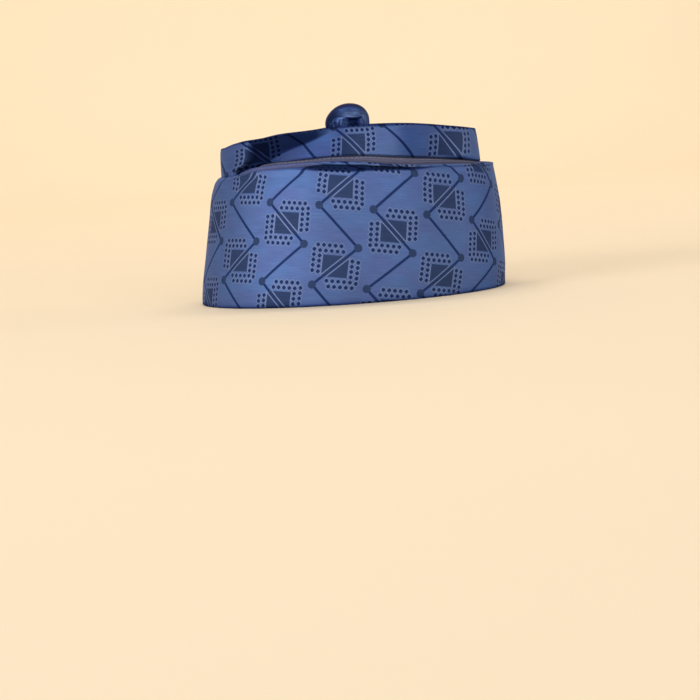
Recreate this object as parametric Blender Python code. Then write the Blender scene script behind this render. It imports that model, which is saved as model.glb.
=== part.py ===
"""A satin prayer cap with a turned-up cuff and a covered knob, standing on its rim.

Metres, +Z up. The origin is on the floor at the middle of the rim. The forehead is at -X, the nape at +X
and the wearer's left at -Y. Every wall is drawn as rings of points round the head: an angle `turn` runs
round the cap from the nape (0) by the wearer's right (90) and the forehead (180) to the left (270).
"""

from bisect import bisect_right
from math import cos, pi, radians, sin

import bmesh
import bpy

MM = 0.001

# Cloth and the gaps that keep the pieces apart
CUFF_WALL = 2.2 * MM
CROWN_WALL = 2.0 * MM
BAND_WALL = 1.5 * MM
TOP_WALL = 2.0 * MM
GAP = 0.3 * MM

# The head's shape: half of the width over half of the length
WIDTH_TO_LENGTH = 0.85
SEGMENTS = 72

# Outlines seen from the side: height, forehead x, nape x
CUFF_OUTLINE = (
    (0 * MM, -101.5 * MM, 100.5 * MM),
    (14 * MM, -100.4 * MM, 101.5 * MM),
    (30 * MM, -97.5 * MM, 101.2 * MM),
    (55 * MM, -93.1 * MM, 100.3 * MM),
    (70 * MM, -90.5 * MM, 98.6 * MM),
    (78 * MM, -87.9 * MM, 97.4 * MM),
    (83 * MM, -85.7 * MM, 96.7 * MM),
    (90 * MM, -85.7 * MM, 92.6 * MM),
)
CROWN_OUTLINE = (
    (80 * MM, -82.8 * MM, 89.2 * MM),
    (98 * MM, -82.4 * MM, 88.0 * MM),
    (104 * MM, -81.4 * MM, 87.2 * MM),
    (112 * MM, -80.8 * MM, 86.8 * MM),
)

# Edges that rise and fall round the head: degrees from the nape to the forehead, value
LIP_HEIGHT = (
    (0, 81.0 * MM), (30, 81.8 * MM), (60, 84.3 * MM), (90, 89.7 * MM),
    (133, 89.4 * MM), (150, 84.6 * MM), (165, 83.3 * MM), (180, 83.1 * MM),
)
BAND_SHOWS_OVER_LIP = (
    (0, 1.0 * MM), (30, 2.9 * MM), (60, 5.2 * MM), (92, 4.2 * MM),
    (110, 3.7 * MM), (135, 2.0 * MM), (150, -0.6 * MM), (180, -1.0 * MM),
)
CROWN_TOP_HEIGHT = (
    (0, 104.2 * MM), (30, 106.2 * MM), (60, 110.2 * MM), (80, 111.4 * MM), (96, 111.3 * MM),
    (108, 109.8 * MM), (125, 108.6 * MM), (135, 106.8 * MM), (150, 105.5 * MM), (165, 102.8 * MM),
    (180, 102.2 * MM),
)

# The slanting dent in the crown's left front: turn, height of its valley, depth
DENT_VALLEY = (
    (212, 88.0 * MM, 0.0 * MM), (219, 89.5 * MM, 0.5 * MM), (227, 94.0 * MM, 5.2 * MM),
    (238, 98.5 * MM, 6.2 * MM), (251, 102.0 * MM, 3.8 * MM), (263, 108.0 * MM, 0.0 * MM),
)
DENT_REACH_DOWN = 9.0 * MM

# The crease under the cuff's lip on the left side
CREASE_TURN = 272.0
CREASE_HALF_TURN = 30.0
CREASE_DEPTH = 1.6 * MM
CREASE_BELOW_LIP = 4.2 * MM
CREASE_HALF_HEIGHT = 2.6 * MM

# The cuff's rolled edges
LIP_ROLL = 0.8 * MM
HEM_ROLL = 0.6 * MM

# The band's foot stands clear of the floor; the crown's wall laps over its upper end
BAND_FOOT = 2.0 * MM
BAND_LAP = 7.0 * MM

# The crown's seam ridge, and the dished panel inside it
SEAM_RIDGE = 1.4 * MM
SEAM_ROLL = 0.5 * MM
DISH_CENTRE_X = 3.0 * MM
DISH_HEIGHT = 100.5 * MM
DISH_POWER = 1.7
WRINKLES = 9
WRINKLE_HEIGHT = 0.7 * MM

# The knob
KNOB_CENTRE = (3.0 * MM, 0.0, 113.3 * MM)
KNOB_HALF_WIDTH = 14.8 * MM
KNOB_HALF_HEIGHT = 12.4 * MM
KNOB_FOOT_RADIUS = 6.5 * MM
KNOB_GATHERS = 12
KNOB_GATHER_DEPTH = 0.5 * MM
KNOB_SEGMENTS = 36

# Name: colour and roughness of each piece's cloth
CLOTHS = {
    "cuff": ((0.058, 0.095, 0.225), 0.42),
    "crown_side": ((0.058, 0.095, 0.225), 0.42),
    "crown_top": ((0.058, 0.095, 0.225), 0.42),
    "inner_band": ((0.070, 0.062, 0.085), 0.75),
    "knob": ((0.030, 0.052, 0.150), 0.32),
}


def ease(t):
    """Smooth step from 0 to 1, held outside that range."""
    t = min(max(t, 0.0), 1.0)
    return t * t * (3 - 2 * t)


def curve(table, at, column=1):
    """Smooth curve through the rows of a table, held beyond its ends."""
    places = [row[0] for row in table]
    values = [row[column] for row in table]
    if at <= places[0]:
        return values[0]
    if at >= places[-1]:
        return values[-1]
    k = bisect_right(places, at) - 1

    def slope(i):
        if i in (0, len(places) - 1):
            return 0.0
        return (values[i + 1] - values[i - 1]) / (places[i + 1] - places[i - 1])

    width = places[k + 1] - places[k]
    t = (at - places[k]) / width
    bend = t * (1 - t) * ((1 - t) * slope(k) - t * slope(k + 1)) * width
    return values[k] + (values[k + 1] - values[k]) * ease(t) + bend


def from_nape(turn):
    """Degrees from the nape, 0 to 180, the same on both sides."""
    turn %= 360
    return min(turn, 360 - turn)


def lip_height(turn):
    return curve(LIP_HEIGHT, from_nape(turn))


def crown_foot(turn):
    return lip_height(turn) + curve(BAND_SHOWS_OVER_LIP, from_nape(turn))


def crown_height(turn):
    return curve(CROWN_TOP_HEIGHT, from_nape(turn))


def dent(turn, z):
    """How far the crown's wall is pushed in here."""
    turn %= 360
    depth = curve(DENT_VALLEY, turn, 2)
    valley = curve(DENT_VALLEY, turn, 1)
    above = crown_height(turn) + GAP - valley
    away = (z - valley) / above if z > valley else (valley - z) / DENT_REACH_DOWN
    return depth * (1 - ease(away))


def crease(turn, z):
    """How far the cuff's wall is pushed in under its lip here."""
    sideways = abs(turn % 360 - CREASE_TURN) / CREASE_HALF_TURN
    upright = abs(lip_height(turn) - CREASE_BELOW_LIP - z) / CREASE_HALF_HEIGHT
    return CREASE_DEPTH * (1 - ease(sideways)) * (1 - ease(upright))


def on_section(front, back, turn, z, inset):
    """Point on the head-shaped section between two x values, moved in by inset."""
    half_length = (back - front) / 2
    a = radians(turn)
    x = (front + back) / 2 + (half_length - inset) * cos(a)
    y = (half_length * WIDTH_TO_LENGTH - inset) * sin(a)
    return x, y, z


def on_cuff(turn, z, inset=0.0):
    front, back = curve(CUFF_OUTLINE, z, 1), curve(CUFF_OUTLINE, z, 2)
    return on_section(front, back, turn, z, inset + crease(turn, z))


def on_crown(turn, z, inset=0.0):
    front, back = curve(CROWN_OUTLINE, z, 1), curve(CROWN_OUTLINE, z, 2)
    return on_section(front, back, turn, z, inset + dent(turn, z))


def on_band(turn, z, inset=0.0):
    """The band leans from just inside the cuff's foot to just inside the crown's wall."""
    lean = ease(z / CROWN_OUTLINE[0][0])
    in_cuff = on_section(curve(CUFF_OUTLINE, z, 1), curve(CUFF_OUTLINE, z, 2),
                         turn, z, CUFF_WALL + GAP + inset)
    in_crown = on_crown(turn, z, CROWN_WALL + GAP + inset)
    return tuple(c + (k - c) * lean for c, k in zip(in_cuff, in_crown))


def ring(place, segments=SEGMENTS):
    """Points all round, each given by place(turn in degrees)."""
    return [place(360 * i / segments) for i in range(segments)]


def loft(name, rings, start=None, end=None):
    """Closed solid through rings: joined last to first, or closed on a start and an end point."""
    mesh = bpy.data.meshes.new(name)
    bm = bmesh.new()
    loops = [[bm.verts.new(p) for p in points] for points in rings]
    count = len(loops[0])
    pairs = list(zip(loops, loops[1:]))
    if start is None:
        pairs.append((loops[-1], loops[0]))
    for lower, upper in pairs:
        for i in range(count):
            j = (i + 1) % count
            bm.faces.new((lower[i], lower[j], upper[j], upper[i]))
    for tip, loop, ahead in ((start, loops[0], False), (end, loops[-1], True)):
        if tip is None:
            continue
        top = bm.verts.new(tip)
        for i in range(count):
            j = (i + 1) % count
            bm.faces.new((loop[i], loop[j], top) if ahead else (loop[j], loop[i], top))
    bmesh.ops.triangulate(bm, faces=bm.faces[:])
    bmesh.ops.recalc_face_normals(bm, faces=bm.faces[:])
    bm.to_mesh(mesh)
    bm.free()
    mesh.shade_smooth()
    mesh.set_sharp_from_angle(angle=radians(50))
    piece = bpy.data.objects.new(name, mesh)
    bpy.context.collection.objects.link(piece)
    mesh.materials.append(cloth(name))
    return piece


def cloth(name):
    colour, roughness = CLOTHS[name]
    material = bpy.data.materials.new(name + "_cloth")
    material.use_nodes = True
    shader = material.node_tree.nodes["Principled BSDF"]
    shader.inputs["Base Color"].default_value = (*colour, 1)
    shader.inputs["Roughness"].default_value = roughness
    shader.inputs["Metallic"].default_value = 0.0
    material.diffuse_color = (*colour, 1)
    return material


def make_cuff():
    def at(share, drop=0.0, inset=0.0):
        """Ring a share of the way up to the lip, less a drop."""
        return ring(lambda turn: on_cuff(turn, lip_height(turn) * share - drop, inset))

    outside = [at(0, 0, HEM_ROLL), at(0, -HEM_ROLL)]
    outside += [at(share) for share in (0.17, 0.34, 0.52, 0.70, 0.80)]
    below = CREASE_BELOW_LIP
    reach = CREASE_HALF_HEIGHT
    drops = (below + 2 * reach, below + reach, below + reach / 2, below, below - reach / 2, below - reach)
    outside += [at(1, drop) for drop in drops]
    outside += [at(1, LIP_ROLL), at(1, 0, LIP_ROLL)]
    inside = [at(1, 0, CUFF_WALL - LIP_ROLL), at(1, LIP_ROLL, CUFF_WALL)]
    inside += [at(1, drop, CUFF_WALL) for drop in (below - reach, below, below + reach)]
    inside += [at(share, 0, CUFF_WALL) for share in (0.80, 0.60, 0.40, 0.20)]
    inside += [at(0, 0, CUFF_WALL)]
    return loft("cuff", outside + inside)


def band_heights(turn):
    """Heights of the lapped end of the band, which the crown's wall shares."""
    foot = crown_foot(turn)
    return [foot + BAND_LAP * k / 3 for k in range(4)]


def make_band():
    leaning = (0.15, 0.32, 0.50, 0.68, 0.84, 0.93)

    def low(share, inset):
        return ring(lambda turn: on_band(turn, BAND_FOOT + (crown_foot(turn) - BAND_FOOT) * share, inset))

    def high(step, inset):
        return ring(lambda turn: on_band(turn, band_heights(turn)[step], inset))

    outside = [low(0, 0)] + [low(share, 0) for share in leaning] + [high(k, 0) for k in range(4)]
    inside = [high(k, BAND_WALL) for k in (3, 1, 0)]
    inside += [low(share, BAND_WALL) for share in reversed(leaning[::2])] + [low(0, BAND_WALL)]
    return loft("inner_band", outside + inside)


def make_crown_side():
    def lapped(step, inset):
        return ring(lambda turn: on_crown(turn, band_heights(turn)[step], inset))

    def free(share, inset=0.0, drop=0.0):
        """Ring a share of the way from the lap's end to the seam."""
        def place(turn):
            lap = band_heights(turn)[-1]
            return on_crown(turn, lap + (crown_height(turn) - lap) * share - drop, inset)
        return ring(place)

    outside = [lapped(k, 0) for k in range(4)] + [free(share) for share in (0.22, 0.44, 0.66, 0.84)]
    outside += [free(1, 0, SEAM_ROLL), free(1, SEAM_ROLL)]
    inside = [free(1, CROWN_WALL - SEAM_ROLL), free(1, CROWN_WALL, SEAM_ROLL)]
    inside += [free(share, CROWN_WALL) for share in (0.84, 0.66, 0.44, 0.22)]
    inside += [lapped(k, CROWN_WALL) for k in (3, 2, 1, 0)]
    return loft("crown_side", outside + inside)


def on_top_panel(turn, share, thickness=0.0):
    """Point of the dished panel, a share of the way from its middle to the crown's wall."""
    edge_z = crown_height(turn) - SEAM_RIDGE
    edge = on_crown(turn, edge_z - thickness, CROWN_WALL + GAP)
    x = DISH_CENTRE_X + (edge[0] - DISH_CENTRE_X) * share
    y = edge[1] * share
    wrinkle = WRINKLE_HEIGHT * sin(WRINKLES * radians(turn)) * sin(pi * share) ** 2
    z = DISH_HEIGHT + (edge_z - DISH_HEIGHT) * share ** DISH_POWER + wrinkle
    return x, y, z - thickness


def make_crown_top():
    shares = (1.0, 0.90, 0.76, 0.58, 0.38, 0.18)
    above = [ring(lambda turn, s=s: on_top_panel(turn, s)) for s in shares]
    below = [ring(lambda turn, s=s: on_top_panel(turn, s, TOP_WALL)) for s in shares]
    return loft("crown_top", list(reversed(below)) + above,
                start=(DISH_CENTRE_X, 0, DISH_HEIGHT - TOP_WALL), end=(DISH_CENTRE_X, 0, DISH_HEIGHT))


def make_knob():
    centre_x, centre_y, centre_z = KNOB_CENTRE
    foot_z = DISH_HEIGHT + 2 * GAP

    def gathered(radius, z, strength):
        def place(turn):
            fold = abs(sin(KNOB_GATHERS / 2 * radians(turn)))
            r = radius - KNOB_GATHER_DEPTH * strength * (1 - fold)
            return centre_x + r * cos(radians(turn)), centre_y + r * sin(radians(turn)), z
        return ring(place, KNOB_SEGMENTS)

    rings = [gathered(KNOB_FOOT_RADIUS, foot_z, 0.0)]
    for degrees in (-55, -42, -28, -14, 0, 16, 32, 48, 62, 76):
        a = radians(degrees)
        strength = 1 - ease((degrees - 10) / 45)
        rings.append(gathered(KNOB_HALF_WIDTH * cos(a), centre_z + KNOB_HALF_HEIGHT * sin(a), strength))
    return loft("knob", rings, start=(centre_x, centre_y, foot_z),
                end=(centre_x, centre_y, centre_z + KNOB_HALF_HEIGHT))


for item in list(bpy.data.objects):
    bpy.data.objects.remove(item, do_unlink=True)

make_cuff()
make_band()
make_crown_side()
make_crown_top()
make_knob()
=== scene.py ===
"""The looks of a satin prayer cap with a turned-up cuff and a covered knob.

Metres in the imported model's frame: +Z up, the forehead at -X and the wearer's left at -Y. The cloth walls
are drawn as rings round the head. An angle `turn` runs from the nape (0) by the wearer's right (90) and
the forehead (180) to the left (270). The damask's woven figure follows each piece's own "cloth" UV map,
which holds the place on the flat cloth in metres.
"""

from bisect import bisect_right
from functools import lru_cache, partialmethod, reduce
from math import cos, exp, hypot, pi, radians, sin

import bpy
from mathutils import Matrix, Vector, noise


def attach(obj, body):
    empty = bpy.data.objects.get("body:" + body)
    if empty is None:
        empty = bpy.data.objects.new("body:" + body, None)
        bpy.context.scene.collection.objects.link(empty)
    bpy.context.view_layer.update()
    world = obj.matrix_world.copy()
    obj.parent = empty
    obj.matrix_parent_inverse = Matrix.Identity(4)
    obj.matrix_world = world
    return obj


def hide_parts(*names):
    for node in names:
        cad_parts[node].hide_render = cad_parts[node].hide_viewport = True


MM = 0.001


def from_mm(*rows, first=1):
    """Rows of a table in metres. Columns from this one on are given in millimetres."""
    return tuple(row[:first] + tuple(value * MM for value in row[first:]) for row in rows)


# The cloth walls, as the model has them
CUFF_WALL, BAND_WALL = 2.2 * MM, 1.5 * MM
CROWN_WALL = TOP_WALL = 2.0 * MM
GAP = 0.3 * MM
WIDTH_TO_LENGTH = 0.85

# Outlines seen from the side: height, forehead x, nape x
CUFF_OUTLINE = from_mm(
    (0, -101.5, 100.5), (14, -100.4, 101.5), (30, -97.5, 101.2), (55, -93.1, 100.3),
    (70, -90.5, 98.6), (78, -87.9, 97.4), (83, -85.7, 96.7), (90, -85.7, 92.6), first=0)
CROWN_OUTLINE = from_mm(
    (80, -82.8, 89.2), (98, -82.4, 88.0), (104, -81.4, 87.2), (112, -80.8, 86.8), first=0)

# Edges that rise and fall round the head: degrees from the nape to the forehead, value
LIP_HEIGHT = from_mm(
    (0, 81.0), (30, 81.8), (60, 84.3), (90, 89.7), (133, 89.4), (150, 84.6), (165, 83.3), (180, 83.1))
BAND_SHOWS_OVER_LIP = from_mm(
    (0, 1.0), (30, 2.9), (60, 5.2), (92, 4.2), (110, 3.7), (135, 2.0), (150, -0.6), (180, -1.0))
CROWN_TOP_HEIGHT = from_mm(
    (0, 104.2), (30, 106.2), (60, 110.2), (80, 111.4), (96, 111.3), (108, 109.8), (125, 108.6),
    (135, 106.8), (150, 105.5), (165, 102.8), (180, 102.2))

# Over the crease the lip and the crown's foot hang lower than the drafted lines: turn, by how much
LIP_SAG = from_mm((262, 0.0), (272, 0.5), (283, 0.9), (295, 0.7), (306, 0.0))
FOOT_SAG = from_mm((205, 0.0), (225, 0.3), (243, 1.4), (252, 1.5), (262, 1.1), (283, 1.1), (298, 0.9),
                   (318, 0.2), (330, 0.0))

# The crown's left front: a sharp upright fold with a pocket behind it, and a slanting dent from there
# up to the top edge. The fold's place: height, turn
FOLD = ((86 * MM, 206.0), (90 * MM, 213.0), (94 * MM, 217.4), (112 * MM, 218.2))
FOLD_RUN = 2.6
# The dent: turn, height of its valley, height where it starts back out, depth
DENT = from_mm(
    (206, 84.0, 97.0, 4.6), (219, 87.0, 99.0, 5.2), (228, 91.0, 99.0, 6.0), (239, 97.4, 99.5, 6.6),
    (249.5, 101.6, 102.6, 5.0), (258.6, 106.0, 106.8, 2.2), (266, 109.0, 109.5, 0.0))
# How much of the depth is left at the top edge and at the foot, and how far down the dent reaches at least
DENT_LEFT_AT_TOP, DENT_LEFT_AT_FOOT = 0.12, 0.2
DENT_REACH_DOWN = 6.0 * MM
# The dent's painted shade comes in over this height, and is whole where the dent is this deep
DENT_SHADE_STEP = 3.0 * MM
DENT_DARK_AT = 3.2 * MM
# Small pleats in the pocket: turn and height of both ends, how proud
PLEATS = (
    (220.5, 103.4 * MM, 231.5, 97.0 * MM, 0.9 * MM),
    (219.5, 100.4 * MM, 229.5, 94.0 * MM, 0.7 * MM),
)
PLEAT_WIDTH = 1.0 * MM
# Over what length a pleat rises and dies away, and how much of the wall one degree is there
PLEAT_ENDS = (3.0 * MM, 4.0 * MM)
WALL_PER_DEGREE = 1.36 * MM
# The crown's wall leans out or back a little as it goes round: turn, outward at its top
LEAN = from_mm((180, 0.0), (263, 0.0), (272, -0.4), (286, -1.1), (297, 0.6), (305, 1.6), (320, 1.0),
               (333, -0.3), (345, 0.0))
# A soft upright ridge of the same wall: turn, half its width in degrees, how proud, how far up it is whole
RIDGE = (290.0, 11.0, 1.2 * MM, 0.625)
# Painted shade of the crown's satin, standing in for soft folds, and painted shade at its foot: turn, how
# dark over the wall, how dark at the foot
PAINTED_CROWN_SHADE = (
    (0, 0.0, 0.3), (150, 0.1, 0.3), (190, 0.1, 0.4), (206, 0.16, 0.5), (222, 0.16, 0.4), (240, 0.2, 0.3),
    (252, 0.3, 0.3), (266, 0.28, 0.3), (274, 0.06, 0.1), (285, 0.0, 0.0), (289, 0.04, 0.1),
    (295, 0.36, 0.4), (302, 0.34, 0.4), (312, 0.18, 0.3), (320, 0.06, 0.8), (328, 0.0, 0.8), (335, 0.0, 0.4),
    (360, 0.0, 0.3),
)
# How far up from the crown's foot its painted shade reaches
FOOT_SHADE = 3.5 * MM
# Painted shade standing in for a soft fold of the cuff where it rounds the nape: turn, how dark
PAINTED_CUFF_SHADE = ((312, 0.0), (328, 0.13), (334, 0.13), (348, 0.0))

# The crease under the cuff's lip, and the hem line it runs out into:
# turn, its top and bottom below the lip, depth
CREASE = from_mm(
    (0, 1.7, 2.4, 0.25), (222, 1.9, 2.7, 0.35), (243, 2.1, 3.2, 0.5), (249.5, 2.2, 3.9, 0.8),
    (256, 1.7, 5.2, 2.0), (267, 1.8, 6.2, 2.4), (274.5, 1.8, 5.4, 2.4), (282, 1.8, 4.4, 2.2),
    (293, 1.3, 3.2, 1.6), (303.5, 0.9, 1.9, 0.8), (315, 0.9, 1.8, 0.6), (342, 1.0, 1.9, 0.5),
    (360, 1.7, 2.4, 0.25))
# How far down the cuff's wall turns into the crease, and out of it again
CREASE_STEP_IN, CREASE_STEP_OUT = 0.5 * MM, 1.3 * MM
# Cloth swallowed by the crease, for each millimetre of its depth
CLOTH_IN_CREASE = 2.3
# The depth at which the crease's painted shade would be at its darkest, and how dark it gets
CREASE_DARK_AT = 1.8 * MM
CREASE_DARKEST = 0.93
# The lip's roll: how proud it stands, and how far down it reaches
LIP_ROLL, LIP_ROLL_HEIGHT = 0.9 * MM, 2.6 * MM
# The share of the roll that shows as it goes round: over the forehead the lip leans in instead
LIP_STANDS_OUT = ((0, 0.4), (150, 0.3), (175, -1.1), (205, -1.1), (235, 0.5), (255, 1.0), (295, 1.0),
                  (320, 0.4), (360, 0.4))
# Painted shade along a turned edge, the crown's top and the cuff's hem: how far it reaches and how dark it
# is
EDGE_SHADE, EDGE_DARK = 2.1 * MM, 0.95
HEM_SHADE, HEM_DARK = 3.0 * MM, 0.8
# Where the lip's turned hem shows plain cloth: turns where this starts, is whole, lessens and ends
PLAIN_LIP = (213, 222, 248, 262)
PLAIN_LIP_HEIGHT, PLAIN_LIP_EDGE = 2.3 * MM, 0.6 * MM
# The lip is crumpled over a short stretch: turns where this starts, is whole, lessens and ends, and the
# lip's radius there. Then the crumples' height, size, flatness, reach down, painted shade in their hollows,
# and which they are
CRUMPLE = (254, 258, 300, 304)
LIP_RADIUS = 78 * MM
CRUMPLE_HEIGHT = 0.6 * MM
CRUMPLE_SIZE = 4.2 * MM
CRUMPLE_FLATNESS = 2.4
CRUMPLE_REACH = 6.0 * MM
CRUMPLE_SHADE = 0.7
CRUMPLE_SEED = 7.3

BAND_FOOT = 2.0 * MM
BAND_LAP = 7.0 * MM
# The strip that shows between lip and crown swells to a soft cord with fine lines of sewing
CORD_SWELL = 2.1 * MM
CORD_UNDER_LIP = 1.5 * MM
# How round its face is, 0 being flat, and how wide the strip is where it swells in full
CORD_ROUNDNESS = 0.25
CORD_WHOLE_AT = 2.4 * MM
CORD_LINE_PITCH = 1.25 * MM
CORD_LINE_HEIGHT = 0.16 * MM
# How dark the strip's lines of yarn get, and its painted shade under the crown
CORD_LINE_DARK = 0.4
# How far the dark lines are set off from those of sewing, and where the painted shade at its edge under the
# crown starts and ends
CORD_LINE_START = 0.7 * CORD_UNDER_LIP
CORD_DARK_EDGE = (0.4 * MM, 0.1 * MM)
# The strip's painted shade towards the front: turns where it is whole and gone, how dark
STRIP_SHADE = (262.0, 286.0, 0.2)
SEAM_RIDGE = 1.4 * MM

DISH_CENTRE_X = 3.0 * MM
DISH_HEIGHT = 100.5 * MM
DISH_POWER = 1.7
WRINKLES = 9
WRINKLE_HEIGHT = 0.7 * MM

KNOB_CENTRE = (3.0 * MM, 0.0, 113.3 * MM)
KNOB_HALF_WIDTH, KNOB_HALF_HEIGHT = 14.8 * MM, 12.4 * MM
KNOB_FOOT_RADIUS = 6.5 * MM
# Where the ball rises from its foot, in degrees under its middle, and the cloth from one ring to the next
KNOB_LOWEST = -55
KNOB_RING_CLOTH = 0.35 * MM
KNOB_LEAST_RADIUS = 0.2 * MM
# The gathers: how many, how deep, how much they wander aside, how quickly they do round and up the knob,
# how uneven their depth is, and how narrow the dark of a groove
KNOB_GATHERS = 26
KNOB_GATHER_DEPTH = 0.7 * MM
KNOB_WANDER = 1.6
KNOB_WANDER_ROUND, KNOB_WANDER_UP = 3, 5 * MM
KNOB_GATHERS_UNEVEN = 0.4
KNOB_GROOVE_POWER = 1.5
# How dark the painted shade is in the gathers' grooves, and on the top that faces away
KNOB_GATHER_SHADE = 0.95
KNOB_TOP_SHADE = 1.0
# Shares of the knob's half height between which the gathers end, and the top's painted shade begins
KNOB_GATHERS_END = (-0.05, 0.3)
KNOB_TOP_STEP = (0.45, 0.85)
# The side of the knob away from the light: turns where its painted shade starts, is whole, lessens and ends
KNOB_FRONT = (120, 160, 232, 272)
KNOB_FRONT_SHADE = 0.8
# The fold of satin that bulges over the tuck: turn, half its width in degrees, how high it lies over the
# tuck's edge, half its height, how proud
KNOB_ROLL = (281.0, 36.0, 0.9 * MM, 1.8 * MM, 1.1 * MM)
# The knob's top sits a little towards the nape
KNOB_SHEAR = 1.3 * MM
KNOB_RISE = 0.5 * MM
# The tuck across the knob's left side: turn, half its width in degrees, top, bottom, how far its top edge
# sags in the middle, depth
TUCK_TURN, TUCK_HALF_TURN = 289.0, 27.0
TUCK_TOP, TUCK_FOOT = 118.0 * MM, 108.0 * MM
TUCK_SAG = 1.6 * MM
TUCK_DEPTH = 1.8 * MM
# How far down it turns in under its top edge, how far up out of its foot, and the share of it that is whole
TUCK_STEP_IN, TUCK_STEP_OUT = 1.1 * MM, 3.0 * MM
TUCK_WHOLE = 0.35

# How finely the cloth is drawn
TURNS = 480
AROUND = [360 * i / TURNS for i in range(TURNS)]
KNOB_TURNS = 240
KNOB_RINGS = 90
TOP_RINGS = 40
EDGE_STEPS = 6
CREASE_ROWS = 36
STRIP_ROWS = 60
# The parts that are drawn finely: under the cuff's lip, and the shares of the band's height at its strip
FINE_REACH = 8.5 * MM
STRIP_FROM, STRIP_SHARE = 0.8, 0.195
# How far in a wall's inner face starts
PAST_FOLD = 1.2 * MM

# The upright seam at the nape: half its width in degrees, its depth, how dark
SEAM_HALF_TURN = 0.9
SEAM_DEPTH = 0.7 * MM
NAPE_SHADE = 0.8

# The cloth is never quite even: size of its soft unevenness, and how slowly that changes upwards. Then on
# each piece its height, which part of the noise it takes, and the heights between which it comes in
UNEVEN_SIZE = 22 * MM
UNEVEN_UPWARDS = 0.6
CUFF_UNEVEN = (0.35 * MM, 3.1, 0.0, 10 * MM)
CROWN_UNEVEN = (0.175 * MM, 8.6, 92 * MM, 98 * MM)

# The woven figure, in millimetres: zigzags side by side, with a split square on every other slope. In a
# square the zigzag keeps this share of its own tone
COLUMN = 35.1
ROW = 24.8
ZIGZAG_REACH = 26.9
ZIGZAG_THICK = 1.7
ZIGZAG_IN_SQUARE = 0.45
ELBOW_RADIUS = 2.6
SQUARE = (16.6, 13.6)
SPLIT_LINES_APART = 3.0
SPLIT_LINE_THICK = 0.6
DOT_RADIUS = 1.45
HALO = 0.65
DOTS_IN_LINE = 5
# Lines of dots over a square and beside it: where the first dot lies, its distance to the next, how far out
DOTS_OVER = ((-10.6, 3.75, 9.3), (-12.2, 3.75, 12.75))
DOTS_BESIDE = ((-9.3, 3.3, -10.6), (-9.8, 3.3, -14.4))
THREAD = 0.3

# The weave lies askew on the cap: its slant, its lean off square, and its bow along the wall
WEAVE_SLANT = radians(7.64)
WEAVE_LEAN = 0.0486
WEAVE_BOW = 0.414
# The bow runs out this far along the wall, over this length; the drift fades between these degrees from
# the left side, so that the weave lies straight on the right, and is held this many reaches up and down
BOW_REACH = 0.135
BOW_FADE = 0.03
DRIFT_ENDS = (95, 150)
DRIFT_HELD = 1.2
# The cloth is drawn round the corner at the back between these turns
CORNER = (316, 332)
# The weave on each piece. Where a square's middle lies: distance along the wall from the left side, and
# height. Sewing has pulled the weave off its straight lattice: the middle height and reach that the pull is
# measured over, what it adds along and up in millimetres, one value to each drift term, and how far the
# cloth is drawn round the corner
CUFF_WEAVE = (
    (24.8 * MM, 43.6 * MM), 45.0 * MM, 45.0 * MM,
    (0.47, 0.14, -2.91, 0.39, 3.48, -1.15, 1.14, -0.54, 2.35),
    (-0.94, 2.11, 0.67, -0.13, -0.16, 0.58, -0.23, -6.58, -0.73), 0.0)
CROWN_WEAVE = (
    (3.3 * MM, 101.6 * MM), 98.0 * MM, 13.0 * MM,
    (-0.24, 10.83, 3.06, -0.75, 1.4, 0.0, 2.2, -23.85, 0.0),
    (1.94, -9.23, 2.19, 0.49, -2.24, 0.0, 0.5, -5.94, 0.0), -4.6 * MM)

# Stitches: from one to the next, their length and thickness, how finely they are drawn, how far out they lie
STITCH_PITCH = 2.9 * MM
STITCH_LENGTH = 2.1 * MM
STITCH_THICK = 0.5 * MM
STITCH_SIDES = 8
STITCH_RINGS = 5
STITCH_OUT = 0.1 * MM
# Where the rows of stitches run: the turns and drop under the crown's foot on the strip, the share of the
# way out on the top panel, and the height on the lining inside
STRIP_STITCHES = (216, 503, 1.1 * MM)
TOP_STITCHES_AT = 0.955
HEM_STITCHES_AT = 9.0 * MM

# The camera: how far it stands, how high it looks down on the rim, how the photo is tilted
CAMERA_DISTANCE = 1.5
CAMERA_ELEVATION = radians(4.6)
CAMERA_ROLL = radians(3.98)
# The photo: its side, the pixel of the rim's middle, and pixels to a metre there
PHOTO_SIDE = 700
RIM_PIXEL = (354.7, 293.5)
PIXELS_PER_METRE = 1498.5
SENSOR = 0.036

# The floor's half length, and where its sweep starts, how round and how high it is
FLOOR_REACH = 6.0
SWEEP_START = 1.9
SWEEP_RADIUS = 0.8
SWEEP_HEIGHT = 3.6
SWEEP_STEPS = 16
PAPER_TONES = (0.94, 0.77, 0.54), (0.92, 0.75, 0.52)

# The soft lights: name, place, where it points, size, power, colour. Then the light of the room
CAP_MIDDLE = (0, 0, 0.08)
LIGHTS = (
    ("key", (-1.72, -1.38, 0.75), CAP_MIDDLE, (1.3, 0.9), 23, (1.0, 0.975, 0.95)),
    ("fill", (0.9, -2.0, 0.9), CAP_MIDDLE, (1.4, 1.4), 12, (1, 1, 1)),
    ("top", (0.0, -0.95, 1.4), CAP_MIDDLE, (0.6, 0.5), 5, (1, 1, 1)),
    ("side strip", (1.9, 0.2, 0.5), CAP_MIDDLE, (0.3, 1.2), 5, (1, 1, 1)),
    ("backdrop light", (0, 1.0, 3.0), (0, 2.6, 0.6), (3.4, 1.0), 69, (1.0, 0.97, 0.925)),
)
ROOM_COLOUR = (0.8, 0.86, 1.0, 1)
ROOM_LIGHT = 0.25

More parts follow.
